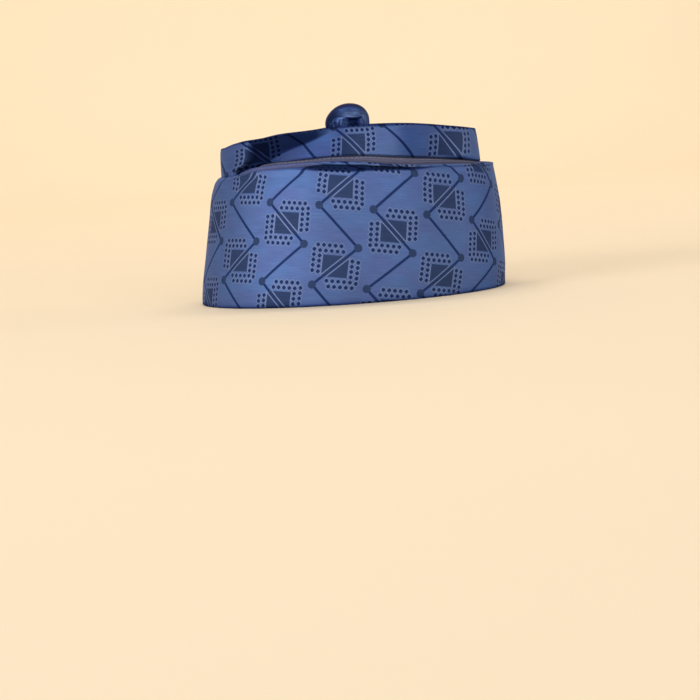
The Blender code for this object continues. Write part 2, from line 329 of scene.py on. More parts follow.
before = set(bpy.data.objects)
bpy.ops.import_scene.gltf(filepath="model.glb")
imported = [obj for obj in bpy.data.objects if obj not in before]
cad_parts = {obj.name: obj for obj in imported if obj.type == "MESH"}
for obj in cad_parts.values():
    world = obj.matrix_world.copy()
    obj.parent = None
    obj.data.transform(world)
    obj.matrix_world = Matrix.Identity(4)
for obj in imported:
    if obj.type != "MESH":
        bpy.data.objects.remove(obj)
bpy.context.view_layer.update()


# Shapes

def ease(t):
    """Smooth step from 0 to 1, held outside that range."""
    t = min(max(t, 0.0), 1.0)
    return t * t * (3 - 2 * t)


def step(at, start, end):
    """Smooth step from 0 at the start to 1 at the end, held beyond them."""
    return ease((at - start) / (end - start))


def rise_and_fall(at, start, whole, ending, end):
    """Smooth step from 0 at the start to 1, held, and back to 0 at the end."""
    return step(at, start, whole) * (1 - step(at, ending, end))


def curve(table, at, column=1):
    """Smooth curve through the rows of a table, held beyond its ends."""
    places = [row[0] for row in table]
    values = [row[column] for row in table]
    if at <= places[0]:
        return values[0]
    if at >= places[-1]:
        return values[-1]
    k = bisect_right(places, at) - 1

    def slope(i):
        if i in (0, len(places) - 1):
            return 0.0
        return (values[i + 1] - values[i - 1]) / (places[i + 1] - places[i - 1])

    width = places[k + 1] - places[k]
    t = (at - places[k]) / width
    bend = t * (1 - t) * ((1 - t) * slope(k) - t * slope(k + 1)) * width
    return values[k] + (values[k + 1] - values[k]) * ease(t) + bend


def from_nape(turn):
    """Degrees from the nape, 0 to 180, the same on both sides."""
    turn %= 360
    return min(turn, 360 - turn)


@lru_cache(None)
def lip_height(turn):
    return curve(LIP_HEIGHT, from_nape(turn)) - curve(LIP_SAG, turn % 360)


@lru_cache(None)
def crown_foot(turn):
    drafted = curve(LIP_HEIGHT, from_nape(turn)) + curve(BAND_SHOWS_OVER_LIP, from_nape(turn))
    return drafted - curve(FOOT_SAG, turn % 360)


@lru_cache(None)
def crown_height(turn):
    return curve(CROWN_TOP_HEIGHT, from_nape(turn))


@lru_cache(None)
def row_at(table, turn):
    """Every value of a table at this turn."""
    return tuple(curve(table, turn % 360, column) for column in range(1, len(table[0])))


def pleats(turn, z):
    """How far the small pleats stand out here."""
    out = 0.0
    for turn_0, z_0, turn_1, z_1, height in PLEATS:
        run, rise = (turn_1 - turn_0) * WALL_PER_DEGREE, z_1 - z_0
        size = hypot(run, rise)
        u, v = (turn - turn_0) * WALL_PER_DEGREE, z - z_0
        along, across = (u * run + v * rise) / size, (v * run - u * rise) / size
        ends = ease(along / PLEAT_ENDS[0]) * ease((size - along) / PLEAT_ENDS[1])
        out += height * exp(-(across / PLEAT_WIDTH) ** 2) * ends
    return out


def dent_share(turn, z):
    """How much of the dent's depth there is at this height, 0 to 1."""
    valley, shoulder, _ = row_at(DENT, turn)
    top = crown_height(turn) + GAP
    if z > valley:
        return 1 - (1 - DENT_LEFT_AT_TOP) * max((z - shoulder) / (top - shoulder), 0.0)
    reach = max((valley - crown_foot(turn)) / (1 - DENT_LEFT_AT_FOOT), DENT_REACH_DOWN)
    return 1 - min((valley - z) / reach, 1.0)


def behind_fold(turn, z):
    """How far behind the crown's upright fold this place is, 0 to 1, and 0 beside the dent."""
    if not DENT[0][0] < turn % 360 < DENT[-1][0]:
        return 0.0
    return ease((turn % 360 - curve(FOLD, z)) / FOLD_RUN)


def dent(turn, z):
    """How far the crown's wall is pushed in here."""
    behind = behind_fold(turn, z)
    if not behind:
        return 0.0
    share = dent_share(turn, z)
    return behind * (row_at(DENT, turn)[2] * share - pleats(turn % 360, z) * min(share * 2, 1.0))


def dent_shade(turn, z):
    """How much painted shade the dent gets, 0 to 1."""
    valley, _, depth = row_at(DENT, turn)
    return behind_fold(turn, z) * min(depth / DENT_DARK_AT, 1.0) * ease((z - valley) / DENT_SHADE_STEP + 0.5)


def crease_at(turn, below):
    """How far in the crease goes this far below the lip, as a share of its depth."""
    top, foot, _ = row_at(CREASE, turn)
    return (ease((below - top) / CREASE_STEP_IN)
            * (1 - ease((below - foot + CREASE_STEP_OUT / 2) / CREASE_STEP_OUT)))


def crease(turn, z):
    """How far the cuff's wall is pushed in under its lip here."""
    return row_at(CREASE, turn)[2] * crease_at(turn, lip_height(turn) - z)


def cuff_shade(turn, z):
    """Painted shade of the cuff, 0 to 1, in its crease and crumples, along its hem and in a soft fold; it is
    also darker along the nape's seam.
    """
    depth = row_at(CREASE, turn)[2]
    in_crease = crease_at(turn, lip_height(turn) - z) * min(depth / CREASE_DARK_AT, CREASE_DARKEST)
    in_crumple = CRUMPLE_SHADE * max(-crumple(turn, z), 0.0)
    return max(in_crease, min(in_crumple, HEM_DARK), HEM_DARK * (1 - ease(z / HEM_SHADE)),
               NAPE_SHADE * nape_seam(turn), row_at(PAINTED_CUFF_SHADE, turn)[0])


def plain_lip(turn, z):
    """How much of the lip's turned hem shows plain cloth here, 0 to 1."""
    at_edge = 1 - ease((lip_height(turn) - z - PLAIN_LIP_HEIGHT) / PLAIN_LIP_EDGE)
    return rise_and_fall(turn % 360, *PLAIN_LIP) * at_edge


def crown_shade(turn, z):
    """Painted shade of the crown, 0 to 1, in its dent, along its top edge, in soft folds and at its foot; it
    is also darker along the nape's seam.
    """
    wall, foot = row_at(PAINTED_CROWN_SHADE, turn)
    at_top = EDGE_DARK * (1 - ease((crown_height(turn) - z) / EDGE_SHADE))
    at_foot = foot * (1 - ease((z - crown_foot(turn)) / FOOT_SHADE))
    return max(dent_shade(turn, z), at_top, wall, at_foot, NAPE_SHADE * nape_seam(turn))


def cloth_taken_up(turn, z):
    """Height of cloth that the crease swallows below this place."""
    top, foot, depth = row_at(CREASE, turn)
    return CLOTH_IN_CREASE * depth * (1 - step(lip_height(turn) - z, top, foot))


def lip_roll(turn, z):
    """How far the rolled lip stands out here, with its crumples."""
    below = lip_height(turn) - z
    roll = LIP_ROLL * (1 - ease(below / LIP_ROLL_HEIGHT)) * row_at(LIP_STANDS_OUT, turn)[0]
    return roll + CRUMPLE_HEIGHT * crumple(turn, z)


def crumple(turn, z):
    """Crumples of the lip's short uneven stretch, about -1 to 1."""
    along = rise_and_fall(turn % 360, *CRUMPLE)
    if not along:
        return 0.0
    place = Vector((radians(turn % 360) * LIP_RADIUS, CRUMPLE_FLATNESS * z, 0.0)) / CRUMPLE_SIZE
    place.z = CRUMPLE_SEED
    return 2 * noise.noise(place) * along * (1 - ease((lip_height(turn) - z) / CRUMPLE_REACH))


def nape_seam(turn):
    """How far into the upright seam at the nape this turn is, 0 to 1."""
    return exp(-(from_nape(turn) / SEAM_HALF_TURN) ** 2)


@lru_cache(None)
def ends_at(outline, z):
    return curve(outline, z, 1), curve(outline, z, 2)


def on_section(outline, turn, z, inset=0.0):
    """Point on an outline's head-shaped section at this height, moved in by inset."""
    front, back = ends_at(outline, z)
    half_length = (back - front) / 2
    a = radians(turn)
    x = (front + back) / 2 + (half_length - inset) * cos(a)
    y = (half_length * WIDTH_TO_LENGTH - inset) * sin(a)
    return x, y, z


def unevenness(outline, turn, z, height, seed, start, end):
    """How far a wall's cloth stands out by its soft rise and fall."""
    x, y, up = (c / UNEVEN_SIZE for c in on_section(outline, turn, z))
    return height * noise.noise(Vector((x, y, UNEVEN_UPWARDS * up + seed))) * step(z, start, end)


def on_cuff(turn, z, inset=0.0):
    wave = unevenness(CUFF_OUTLINE, turn, z, *CUFF_UNEVEN)
    seam = SEAM_DEPTH * nape_seam(turn)
    return on_section(CUFF_OUTLINE, turn, z, inset + crease(turn, z) - wave - lip_roll(turn, z) + seam)


def on_crown(turn, z, inset=0.0):
    up = (z - crown_foot(turn)) / (crown_height(turn) - crown_foot(turn))
    lean = row_at(LEAN, turn)[0] * min(max(up, 0.0), 1.0)
    at, half, proud, whole = RIDGE
    ridge = proud * exp(-((turn % 360 - at) / half) ** 2) * ease(up / whole)
    out = lean + ridge + unevenness(CROWN_OUTLINE, turn, z, *CROWN_UNEVEN)
    return on_section(CROWN_OUTLINE, turn, z, inset + dent(turn, z) - out + SEAM_DEPTH * nape_seam(turn))


def on_band(turn, z, inset=0.0):
    """The band leans from just inside the cuff's foot to just inside the crown's wall."""
    lean = ease(z / CROWN_OUTLINE[0][0])
    in_cuff = on_section(CUFF_OUTLINE, turn, z, CUFF_WALL + GAP + inset)
    in_crown = on_crown(turn, z, CROWN_WALL + GAP + inset)
    x, y, _ = (c + (k - c) * lean for c, k in zip(in_cuff, in_crown))
    swell = cord_swell(turn, z) if inset < BAND_WALL / 2 else 0.0
    a = radians(turn)
    return x + swell * cos(a), y + swell * sin(a), z


def strip_at(turn):
    """Heights between which the band swells to a cord, from under the lip to under the crown."""
    return lip_height(turn) - CORD_UNDER_LIP, crown_foot(turn) - GAP


def cord_swell(turn, z):
    """How far the strip between lip and crown swells out here."""
    start, end = strip_at(turn)
    height = end - start
    if height < GAP or not start < z < end:
        return 0.0
    share = (z - start) / height
    lines = CORD_LINE_HEIGHT * sin(2 * pi * (z - start) / CORD_LINE_PITCH)
    return (CORD_SWELL + lines) * sin(pi * share) ** CORD_ROUNDNESS * min(height / CORD_WHOLE_AT, 1.0)


def band_lines_and_shade(turn, z):
    """How much darker the strip is painted: its own lines of yarn, and painted shade at its edge under the
    crown and towards the front.
    """
    start, end = strip_at(turn)
    if not start < z < end:
        return 0.0
    line = 0.5 - 0.5 * cos(2 * pi * (z - start - CORD_LINE_START) / CORD_LINE_PITCH)
    edge = step(z, *(end - drop for drop in CORD_DARK_EDGE))
    whole, gone, depth = STRIP_SHADE
    towards_front = depth * (1 - step(turn, whole, gone))
    return CORD_LINE_DARK * max(line, edge) * (1 - towards_front) + towards_front


def on_top_panel(turn, share, thickness=0.0):
    """Point of the dished panel, a share of the way from its middle to the crown's wall."""
    edge_z = crown_height(turn) - SEAM_RIDGE
    edge = on_crown(turn, edge_z - thickness, CROWN_WALL + GAP)
    x = DISH_CENTRE_X + (edge[0] - DISH_CENTRE_X) * share
    y = edge[1] * share
    wrinkle = WRINKLE_HEIGHT * sin(WRINKLES * radians(turn)) * sin(pi * share) ** 2
    z = DISH_HEIGHT + (edge_z - DISH_HEIGHT) * share ** DISH_POWER + wrinkle
    return x, y, z - thickness


def rounded(wall):
    """Steps over a rounded edge from the outside to the inside: how far down, and how far in."""
    half = wall / 2
    angles = [pi * k / EDGE_STEPS for k in range(EDGE_STEPS + 1)]
    return [(half - half * sin(a), half - half * cos(a)) for a in angles]


def weave_drift(turn, up, weave):
    """How far the weave has been pulled off its lattice here, along and up."""
    _, middle, reach, across, upward, round_corner = weave
    a = radians(turn - 270)
    u, c, w = sin(a), 1 - cos(a), min(max((up - middle) / reach, -DRIFT_HELD), DRIFT_HELD)
    terms = (1, u, c, w, u * w, c * w, w * w, u * c, u * w * w)
    left = 1 - step(abs((turn - 90) % 360 - 180), *DRIFT_ENDS)
    x, y = (MM * sum(k * t for k, t in zip(pull, terms)) for pull in (across, upward))
    x += round_corner * step(turn % 360, *CORNER)
    return left * x, left * y


def weave_place(turn, along, up, weave):
    """Place on the flat cloth of a point of a wall, with a square's middle at the origin."""
    square = weave[0]
    pull = weave_drift(turn, up, weave)
    beyond = max(abs(along) - BOW_REACH, 0.0)
    bow_run = BOW_REACH ** 2 if beyond else along ** 2
    up += WEAVE_BOW * (bow_run + 2 * BOW_REACH * BOW_FADE * (1 - exp(-beyond / BOW_FADE)))
    along, up = along - square[0], up - square[1]
    x = along * cos(WEAVE_SLANT) - up * sin(WEAVE_SLANT)
    y = along * sin(WEAVE_SLANT) + up * cos(WEAVE_SLANT)
    return x + WEAVE_LEAN * y + pull[0], y + pull[1]


def distances(ring):
    """Each point's distance along its ring from the left side, with the first point again at the end."""
    along = [0.0]
    for i, point in enumerate(ring):
        along.append(along[-1] + (ring[(i + 1) % TURNS] - point).length)
    return [a - along[TURNS * 3 // 4] for a in along]


def new_object(name, data):
    made = bpy.data.objects.new(name, data)
    bpy.context.collection.objects.link(made)
    return made


def mesh_piece(name, points, faces, places, material, **marks):
    """Object from points, faces, each corner's place on the cloth if any, and named values of each point."""
    mesh = bpy.data.meshes.new(name)
    mesh.from_pydata(points, [], faces)
    if places:
        for loop, place in zip(mesh.uv_layers.new(name="cloth").data, places):
            loop.uv = place
    for mark, values in marks.items():
        mesh.attributes.new(mark, "FLOAT", "POINT").data.foreach_set("value", values)
    mesh.shade_smooth()
    mesh.materials.append(material)
    return new_object(name, mesh)


def wall_piece(name, rings, ups, weave, material, **marks):
    """Closed wall through rings. ups gives each ring's height on the flat cloth, turn by turn."""
    alongs = [distances(ring) for ring in rings]
    faces, places = [], []
    for r in range(len(rings)):
        n = (r + 1) % len(rings)
        for i in range(TURNS):
            j = (i + 1) % TURNS
            faces.append((r * TURNS + i, r * TURNS + j, n * TURNS + j, n * TURNS + i))
            places += [weave_place(360 * c / TURNS, alongs[k][c], ups[k][c % TURNS], weave)
                       for k, c in ((r, i), (r, i + 1), (n, i + 1), (n, i))]
    return mesh_piece(name, sum(rings, []), faces, places, material, **marks)


def capped_piece(name, rings, tips, place, material, **marks):
    """Closed piece from one tip through rings of points to the other tip.

    place gives a corner's place on the cloth from its ring, its number in the ring and its point.
    """
    turns, last = len(rings[0]), len(rings) - 1
    points = sum(rings, []) + tips
    faces, places = [], []

    def corner(r, i):
        return r, i, r * turns + i % turns

    for i in range(turns):
        column = [(corner(0, i + 1), corner(0, i), (0, i, len(points) - 2))]
        for r in range(last):
            column.append((corner(r, i), corner(r, i + 1), corner(r + 1, i + 1), corner(r + 1, i)))
        column.append((corner(last, i), corner(last, i + 1), (last + 1, i, len(points) - 1)))
        for face in column:
            faces.append([number for _, _, number in face])
            places += [place(r, c, points[number]) for r, c, number in face]
    return mesh_piece(name, points, faces, places, material, **marks)


# Materials

class Num:
    """A number in a node tree, worked on with Python's own signs."""

    def __init__(self, socket):
        self.tree = socket.id_data
        self.socket = socket

    def math(self, operation, *others):
        node = self.tree.nodes.new("ShaderNodeMath")
        node.operation = operation
        for socket, value in zip(node.inputs, (self, *others)):
            feed(socket, value)
        return Num(node.outputs["Value"])

    __add__ = partialmethod(math, "ADD")
    __sub__ = partialmethod(math, "SUBTRACT")
    __mul__ = partialmethod(math, "MULTIPLY")
    __truediv__ = partialmethod(math, "DIVIDE")
    __abs__ = partialmethod(math, "ABSOLUTE")
    floor = partialmethod(math, "FLOOR")
    least = partialmethod(math, "MINIMUM")
    most = partialmethod(math, "MAXIMUM")

    def wrap(self, half):
        """Brings the number to between -half and half by whole periods."""
        return self.math("WRAP", half, -half)

    def under(self, edge, soft=THREAD / 2):
        """1 below an edge, 0 above it, with a soft step between, half a thread each way if not given."""
        node = add_node(self.tree, "ShaderNodeMapRange", Value=self, From_Min=edge - soft,
                        From_Max=edge + soft, To_Min=1.0, To_Max=0.0)
        node.interpolation_type = "SMOOTHSTEP"
        return Num(node.outputs["Result"])


def length(x, y):
    return (x * x + y * y).math("SQRT")


def feed(socket, value):
    """Set an input to a value, or wire it to a number, a socket or a node's first output."""
    if isinstance(value, bpy.types.Node):
        value = value.outputs[0]
    elif isinstance(value, Num):
        value = value.socket
    if isinstance(value, bpy.types.NodeSocket):
        socket.id_data.links.new(value, socket)
    else:
        socket.default_value = value


def fill(node, **inputs):
    for label, value in inputs.items():
        feed(node.inputs[label.replace("_", " ")], value)
    return node


def add_node(tree, kind, **inputs):
    return fill(tree.nodes.new(kind), **inputs)


def outputs(node):
    """A node's outputs by name, to be worked on or wired."""
    return {socket.name: Num(socket) for socket in node.outputs}


def new_tree(kind, name, inputs, results):
    """Empty node tree, what it is given, and its result. Sockets are given by kind or usual number."""
    tree = bpy.data.node_groups.new(name, kind)
    for side, sockets in (("INPUT", inputs), ("OUTPUT", results)):
        for label, given in sockets.items():
            number = isinstance(given, float)
            socket_type = "NodeSocketFloat" if number else "NodeSocket" + given
            socket = tree.interface.new_socket(label, in_out=side, socket_type=socket_type)
            if number:
                socket.default_value = given
    return tree, outputs(tree.nodes.new("NodeGroupInput")), tree.nodes.new("NodeGroupOutput")


def cloth_millimetres(group, place):
    """The two numbers of a place on the cloth, in millimetres."""
    split = outputs(add_node(group, "ShaderNodeSeparateXYZ", Vector=place))
    return tuple(split[axis] * (1 / MM) for axis in ("X", "Y"))


def dot_line(along, across, start, pitch, at):
    """Distance to the nearest dot of a line of dots."""
    run = along - start
    number = (run / pitch).math("ROUND").most(0.0).least(DOTS_IN_LINE - 1.0)
    aside = abs(run - number * pitch)
    away = abs(across - at)
    return (length(aside, away) + aside + away) * 0.5


def make_figure_group():
    """Woven figure of the damask: zigzags with round elbows, and split squares with rows of dots."""
    group, given, result = new_tree("ShaderNodeTree", "damask figure", {"Place": "Vector"},
                                    {"Figure": 0.0, "Solid": 0.0, "Float": 0.0, "Halo": 0.0})
    x, y = cloth_millimetres(group, given["Place"])
    x, y = ((c / THREAD).floor() * THREAD + THREAD / 2 for c in (x, y))

    climb = (y - ROW / 2).math("PINGPONG", ROW) / ROW
    line_x = (climb - 0.5) * ZIGZAG_REACH
    square_on = ROW / hypot(ROW, ZIGZAG_REACH)
    from_line = abs((x - line_x).wrap(COLUMN / 2)) * square_on
    half = ZIGZAG_REACH / 2
    left_elbow = length((x + half).wrap(COLUMN / 2), (y - ROW / 2).wrap(ROW))
    right_elbow = length((x - half).wrap(COLUMN / 2), (y + ROW / 2).wrap(ROW))
    elbow = left_elbow.least(right_elbow)
    knot = elbow.under(ELBOW_RADIUS)
    zigzag = from_line.under(ZIGZAG_THICK / 2)

    column = ((x + COLUMN / 2) / COLUMN).floor()
    odd = (column / 2).math("FRACT") * 2
    across = (x - column * COLUMN) * (odd * 2 - 1)
    up = (y - odd * ROW).wrap(ROW)
    at_height = abs(up).under(SQUARE[1] / 2)
    in_square = abs(across).under(SQUARE[0] / 2) * at_height
    beside = abs(from_line - SPLIT_LINES_APART / 2).under(SPLIT_LINE_THICK / 2)

    side = (up * ZIGZAG_REACH - across * ROW).math("SIGN")
    a, b = across * side, up * side
    lines = [dot_line(a, b, *line) for line in DOTS_OVER]
    lines += [dot_line(b * -1, a, *line) for line in DOTS_BESIDE]
    dots = reduce(Num.least, lines)

    floats = in_square * beside
    dot = dots.under(DOT_RADIUS)
    solid = knot.most(in_square * (zigzag * -ZIGZAG_IN_SQUARE + 1))
    figure = zigzag.most(knot).most(in_square.most(dot) * (floats * -1 + 1))
    square_sides = abs(abs(across) - SQUARE[0] / 2).under(HALO) * at_height
    halo = dots.under(DOT_RADIUS + HALO).most(square_sides) * (figure * -1 + 1)
    fill(result, Figure=figure, Solid=solid, Float=floats, Halo=halo)
    return group


def make_thread_group():
    """Fine threads of a cloth: streaks of lighter and darker yarn, and the height of its weave."""
    group, given, result = new_tree(
        "ShaderNodeTree", "threads",
        {"Place": "Vector", "Streak Length": 14.0, "Streak Width": 0.35, "Pitch": 0.45},
        {"Streaks": 0.0, "Mottle": 0.0, "Height": 0.0})
    x, y = cloth_millimetres(group, given["Place"])

    def noise_at(u, v, detail):
        place = add_node(group, "ShaderNodeCombineXYZ", X=u, Y=v)
        cloud = add_node(group, "ShaderNodeTexNoise", Scale=1.0, Detail=detail, Vector=place)
        return outputs(cloud)["Fac"]

    streaks = noise_at(x / given["Streak Length"], y / given["Streak Width"], detail=2.0)
    mottle = noise_at(x / MOTTLE_SIZE[0], y / MOTTLE_SIZE[1], detail=3.0)
    warp, weft = ((c * (2 * pi) / given["Pitch"]).math("SINE") for c in (x, y))
    fill(result, Streaks=streaks, Mottle=mottle, Height=warp * weft * 0.5 + 0.5)
    return group


def new_material(name, colour, roughness, **constants):
    material = bpy.data.materials.new(name)
    material.use_nodes = True
    material.diffuse_color = (*colour, 1)
    shader = material.node_tree.nodes["Principled BSDF"]
    fill(shader, Base_Color=(*colour, 1), Roughness=roughness, **constants)
    return material, material.node_tree, shader


def add_group(tree, group, **inputs):
    node = tree.nodes.new("ShaderNodeGroup")
    node.node_tree = group
    return outputs(fill(node, **inputs))


def place_on_cloth(tree):
    node = tree.nodes.new("ShaderNodeUVMap")
    node.uv_map = "cloth"
    return node


def blend_colours(tree, share, first, second, mode="MIX"):
    """Mix two colours, given as sockets or as values, by a share."""
    mix = tree.nodes.new("ShaderNodeMix")
    mix.data_type = "RGBA"
    mix.blend_type = mode
    for number, value in ((0, share), (6, first), (7, second)):
        feed(mix.inputs[number], (*value, 1) if isinstance(value, tuple) else value)
    return mix.outputs[2]


def attribute(tree, name):
    """A piece's own value at each point."""
    node = tree.nodes.new("ShaderNodeAttribute")
    node.attribute_name = name
    return outputs(node)["Fac"]


def shaded(tree, colour):
    """Paint shade into a colour by the piece's shade values: deeper and bluer in a soft fold, dark in a deep
    one.
    """
    ramp = add_node(tree, "ShaderNodeValToRGB", Fac=attribute(tree, "shade"))
    stops = ramp.color_ramp.elements
    stops[0].color = (1, 1, 1, 1)
    stops[1].color = (*PAINTED_DEEP_SHADE, 1)
    stops.new(PAINTED_SOFT_SHADE_AT).color = (*PAINTED_SOFT_SHADE, 1)
    return blend_colours(tree, 1.0, colour, ramp, "MULTIPLY")


def bumps(shader, height, distance):
    bump = add_node(shader.id_data, "ShaderNodeBump", Strength=1.0, Distance=distance, Height=height)
    fill(shader, Normal=bump)


# What painted shade leaves of a cloth's own colour: in a soft fold, which is shaded this much, and in a deep
# one
PAINTED_SOFT_SHADE_AT = 0.4
PAINTED_SOFT_SHADE = (0.52, 0.60, 0.76)
PAINTED_DEEP_SHADE = (0.095, 0.135, 0.24)
GROUND_BLUE = (0.092, 0.168, 0.398)
GROUND_DEEP = (0.095, 0.143, 0.356)
HEM_PURPLE = (0.100, 0.100, 0.240)
HALO_BLUE = (0.165, 0.228, 0.430)
FIGURE_NAVY = (0.017, 0.038, 0.142)
FIGURE_SLATE = (0.035, 0.060, 0.152)
FLOAT_PALE = (0.190, 0.255, 0.480)
# Light and dark tones of the plain materials
LINING_TONES = (0.192, 0.184, 0.275), (0.124, 0.119, 0.180)
KNOB_TONES = (0.158, 0.238, 0.470), (0.030, 0.048, 0.110)
MAUVE_THREAD_TONES = (0.270, 0.250, 0.340), (0.160, 0.140, 0.200)
BLUE_THREAD_TONES = (0.060, 0.100, 0.260), (0.030, 0.050, 0.140)

# Where on the mottle the ground's two blues meet, and how softly
MOTTLE_STEP = (0.5, 0.16)
# How far the plain cloth of the lip's hem turns purple
HEM_PURPLE_SHARE = 0.6
# The satin's roughness, and how much rougher its woven figure and its folds are
GROUND_ROUGH = 0.5
FIGURE_ROUGHER = 0.14
FOLD_ROUGHER = 0.36
# How much lighter or darker a streak of yarn gets, how high the yarns stand, and the figure's share of that
STREAKS = 0.38
THREAD_RELIEF = 0.05 * MM
FIGURE_RELIEF = 0.4
# The cloth's soft mottle, in millimetres along and up, and how fine the twist of a thread is
MOTTLE_SIZE = (28.0, 16.0)
TWIST_SCALE = 1800.0


def make_damask(figure_group, thread_group):
    material, tree, shader = new_material(
        "satin damask", GROUND_BLUE, GROUND_ROUGH, Metallic=0.55, Specular_IOR_Level=0.2,
        Specular_Tint=(0.26, 0.36, 0.7, 1.0))
    place = place_on_cloth(tree)
    figure = add_group(tree, figure_group, Place=place)
    threads = add_group(tree, thread_group, Place=place)
    plain = attribute(tree, "plain")
    shows = plain * -1 + 1
    woven = {label: figure[label] * shows for label in ("Halo", "Figure", "Float")}
    ground = blend_colours(tree, threads["Mottle"].under(*MOTTLE_STEP), GROUND_BLUE, GROUND_DEEP)
    ground = blend_colours(tree, plain * HEM_PURPLE_SHARE, ground, HEM_PURPLE)
    solid = blend_colours(tree, figure["Solid"], FIGURE_NAVY, FIGURE_SLATE)
    for label, tone in (("Halo", HALO_BLUE), ("Figure", solid), ("Float", FLOAT_PALE)):
        ground = blend_colours(tree, woven[label], ground, tone)
    streaks = threads["Streaks"] * (2 * STREAKS) + (1 - STREAKS)
    grey = add_node(tree, "ShaderNodeCombineColor", Red=streaks, Green=streaks, Blue=streaks)
    colour = blend_colours(tree, 1.0, ground, grey, "MULTIPLY")
    rough = woven["Figure"] * FIGURE_ROUGHER + attribute(tree, "shade") * FOLD_ROUGHER + GROUND_ROUGH
    fill(shader, Base_Color=shaded(tree, colour), Roughness=rough)
    height = threads["Height"] * (1 - FIGURE_RELIEF) + figure["Figure"] * FIGURE_RELIEF
    bumps(shader, height, THREAD_RELIEF)
    return material


def make_plain_cloth(name, tones, thread_group, roughness, depth, **constants):
    material, tree, shader = new_material(name, tones[0], roughness, **constants)
    threads = add_group(tree, thread_group, Place=place_on_cloth(tree), Streak_Length=6.0, Streak_Width=0.5,
                        Pitch=0.7)
    colour = blend_colours(tree, threads["Streaks"], tones[1], tones[0])
    fill(shader, Base_Color=shaded(tree, colour))
    bumps(shader, threads["Height"], depth)
    return material


def make_mottled(name, tones, roughness, scale, depth=0.0):
    """Two tones that run into each other over the object's own coordinates, with bumps of this depth."""
    material, tree, shader = new_material(name, tones[0], roughness)
    place = outputs(tree.nodes.new("ShaderNodeTexCoord"))["Object"]
    cloud = add_node(tree, "ShaderNodeTexNoise", Scale=scale, Vector=place)
    fill(shader, Base_Color=blend_colours(tree, cloud, tones[1], tones[0]))
    if depth:
        bumps(shader, cloud, depth)
    return material


# Pieces

def cloth_wall(name, place, top, wall, outer, inner, weave, material, foot=lambda turn: 0.0,
               taken_up=lambda turn, z: 0.0, **marks):
    """Wall with rounded edges. The rows of both faces are given as share of the way up, and drop.

    taken_up gives the cloth that a crease swallows, and each mark a value, by turn and height. Past its fold
    the cloth runs down again inside.
    """
    edge = rounded(wall)
    rows = [(0.0, -drop, inset) for drop, inset in reversed(edge)]
    rows += [(share, drop, 0.0) for share, drop in outer]
    rows += [(1.0, drop, inset) for drop, inset in edge]
    rows += [(share, drop, wall) for share, drop in inner]
    rings, ups, values = [], [], {mark: [] for mark in marks}
    for share, drop, inset in rows:
        heights = [foot(turn) + (top(turn) - foot(turn)) * share - drop for turn in AROUND]
        rings.append([Vector(place(turn, z, inset)) for turn, z in zip(AROUND, heights)])
        fold_back = inset > PAST_FOLD
        unseen = fold_back and (share < 1 or drop > PAST_FOLD)
        for mark, value in marks.items():
            values[mark] += [0.0 if unseen else value(turn, z) for turn, z in zip(AROUND, heights)]
        if fold_back:
            heights = [2 * top(turn) - z for turn, z in zip(AROUND, heights)]
        ups.append([z + taken_up(turn, z) for turn, z in zip(AROUND, heights)])
    return wall_piece(name, rings, ups, weave, material, **values)


def even_rows(count, *span):
    """Rows of a wall's face: those in this span of numbers, of so many from foot to edge."""
    return [(k / count, 0.0) for k in range(*span)]


def make_cuff(material):
    top, below = CUFF_WALL / 2, FINE_REACH
    outer = even_rows(40, 1, 36)
    outer += [(1.0, below + (top - below) * k / CREASE_ROWS) for k in range(CREASE_ROWS)]
    inner = [(1.0, top + below * k / 12) for k in range(1, 13)] + even_rows(12, 10, 0, -1)
    return cloth_wall("cuff_cloth", on_cuff, lip_height, CUFF_WALL, outer, inner, CUFF_WEAVE, material,
                      taken_up=cloth_taken_up, shade=cuff_shade, plain=plain_lip)


def make_band(material):
    outer = [(STRIP_FROM * k / 14, 0.0) for k in range(1, 14)]
    outer += [(STRIP_FROM + STRIP_SHARE * k / STRIP_ROWS, 0.0) for k in range(STRIP_ROWS)]
    return cloth_wall("band_cloth", on_band, lambda turn: crown_foot(turn) + BAND_LAP, BAND_WALL, outer,
                      even_rows(24, 23, 0, -1), CUFF_WEAVE, material, foot=lambda turn: BAND_FOOT,
                      shade=band_lines_and_shade)


def make_crown_side(material):
    return cloth_wall("crown_side_cloth", on_crown, crown_height, CROWN_WALL, even_rows(48, 2, 46),
                      even_rows(24, 22, 1, -1), CROWN_WEAVE, material, foot=crown_foot, shade=crown_shade)


def make_crown_top(material):
    """Two dished faces, joined round the edge and closed at their middles."""
    shares = [k / TOP_RINGS for k in range(1, TOP_RINGS + 1)]
    rings = [[on_top_panel(turn, share, TOP_WALL) for turn in AROUND] for share in shares]
    rings += [[on_top_panel(turn, share) for turn in AROUND] for share in reversed(shares)]
    tips = [(DISH_CENTRE_X, 0.0, DISH_HEIGHT - TOP_WALL), (DISH_CENTRE_X, 0.0, DISH_HEIGHT)]
    return capped_piece("crown_top_cloth", rings, tips,
                        lambda r, i, point: (point[0] - DISH_CENTRE_X, point[1]), material)


def tuck_at(turn, z):
    """How deep in the knob's tuck this place is, 0 to 1."""
    aside = (turn % 360 - TUCK_TURN) / TUCK_HALF_TURN
    if abs(aside) >= 1:
        return 0.0
    top = TUCK_TOP - TUCK_SAG * (1 - aside ** 2)
    edge = ease((top - z) / TUCK_STEP_IN) * ease((z - TUCK_FOOT) / TUCK_STEP_OUT)
    return edge * (1 - step(abs(aside), TUCK_WHOLE, 1.0))


def knob_roll(turn, z):
    """How far the fold of satin over the knob's tuck bulges out here."""
    at, half, above, half_height, proud = KNOB_ROLL
    middle = TUCK_TOP - TUCK_SAG + above
    return proud * exp(-((turn % 360 - at) / half) ** 2 - ((z - middle) / half_height) ** 2)


